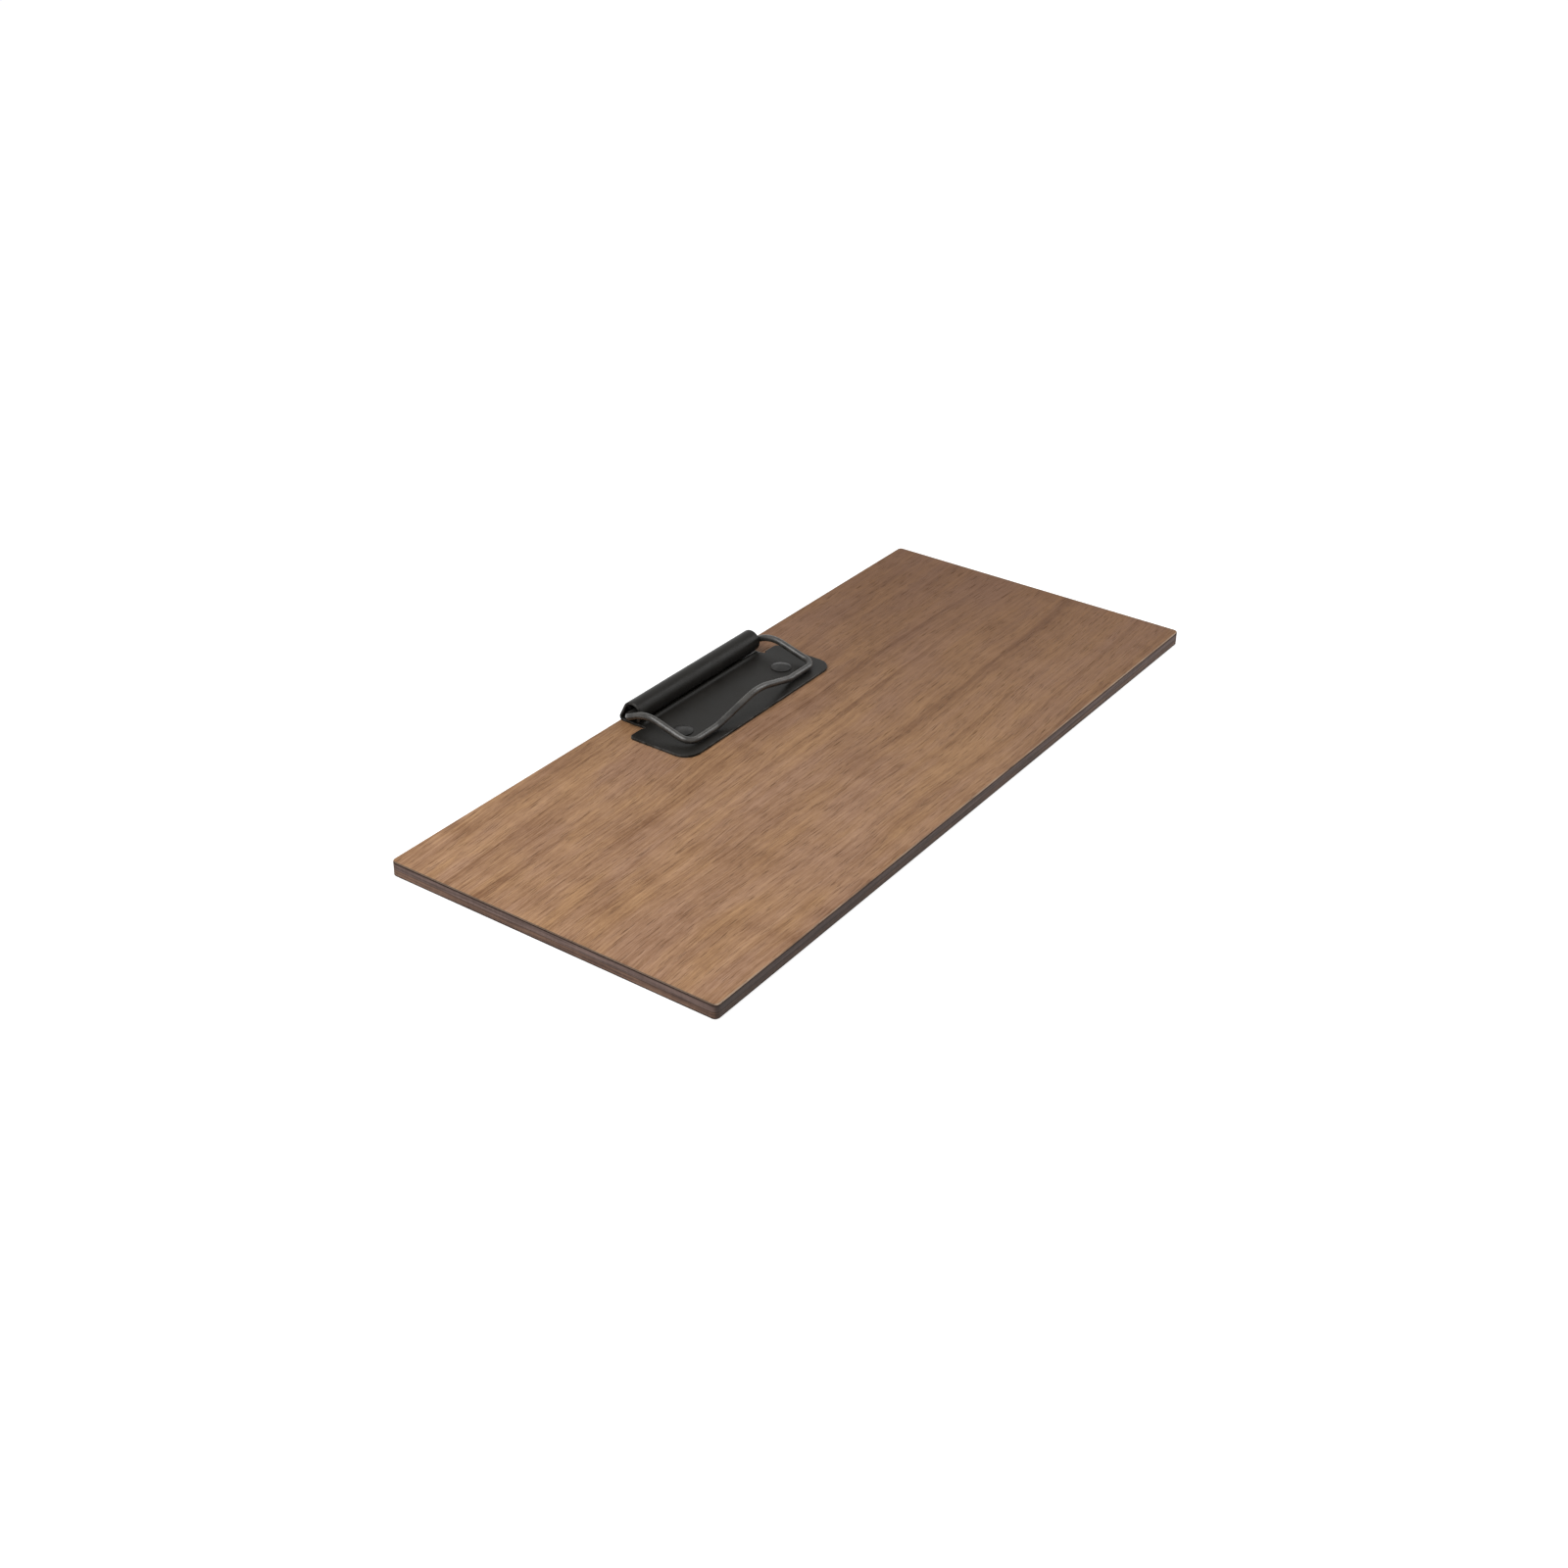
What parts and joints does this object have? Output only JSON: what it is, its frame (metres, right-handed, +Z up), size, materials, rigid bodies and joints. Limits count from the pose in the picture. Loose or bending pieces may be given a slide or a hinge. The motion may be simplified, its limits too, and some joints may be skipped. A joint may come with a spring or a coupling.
{
  "type": "guest check presenter",
  "caption": "Thin laminated walnut check board with a sprung wire bail clip, hinged in a rolled steel barrel and riveted at the middle of one long edge.",
  "frame": {"origin": "centre of the board's underside", "axes": "+X along the board, +Y towards the long edge that carries the clip, +Z up out of the face that carries the clip"},
  "size_m": [0.24, 0.102, 0.0117],
  "materials": {
    "walnut_veneer": "satin oiled walnut, grain along the board",
    "upper_core": "dark stained plywood layer",
    "lower_core": "nearly black stained plywood layer",
    "black_coated_sheet": "satin black coating on pressed steel sheet",
    "black_coated_wire": "satin black coating on steel wire",
    "spring_steel": "plain spring wire",
    "black_rivet": "black coated rivet",
    "washer_steel": "zinc plated washer"
  },
  "bodies": {
    "board": {"walnut_face_veneer": "walnut_veneer", "upper_core_ply": "upper_core", "lower_core_ply": "lower_core", "walnut_back_veneer": "walnut_veneer", "clip_plate": "black_coated_sheet", "left_torsion_spring": "spring_steel", "right_torsion_spring": "spring_steel", "rivets": "black_rivet", "rivet_washers": "washer_steel"},
    "bail": {"wire_bail": "black_coated_wire"}
  },
  "joints": [
    {"name": "bail_hinge", "type": "hinge", "parent": "board", "child": "bail", "pos_m": [0, 0.04732, 0.00715], "axis": [-1, 0, 0], "range_deg": [0, 80], "stiffness_Nm_per_rad": 0.0431, "springref_deg": -51.57, "deforming": ["left_torsion_spring", "right_torsion_spring"]}
  ]
}
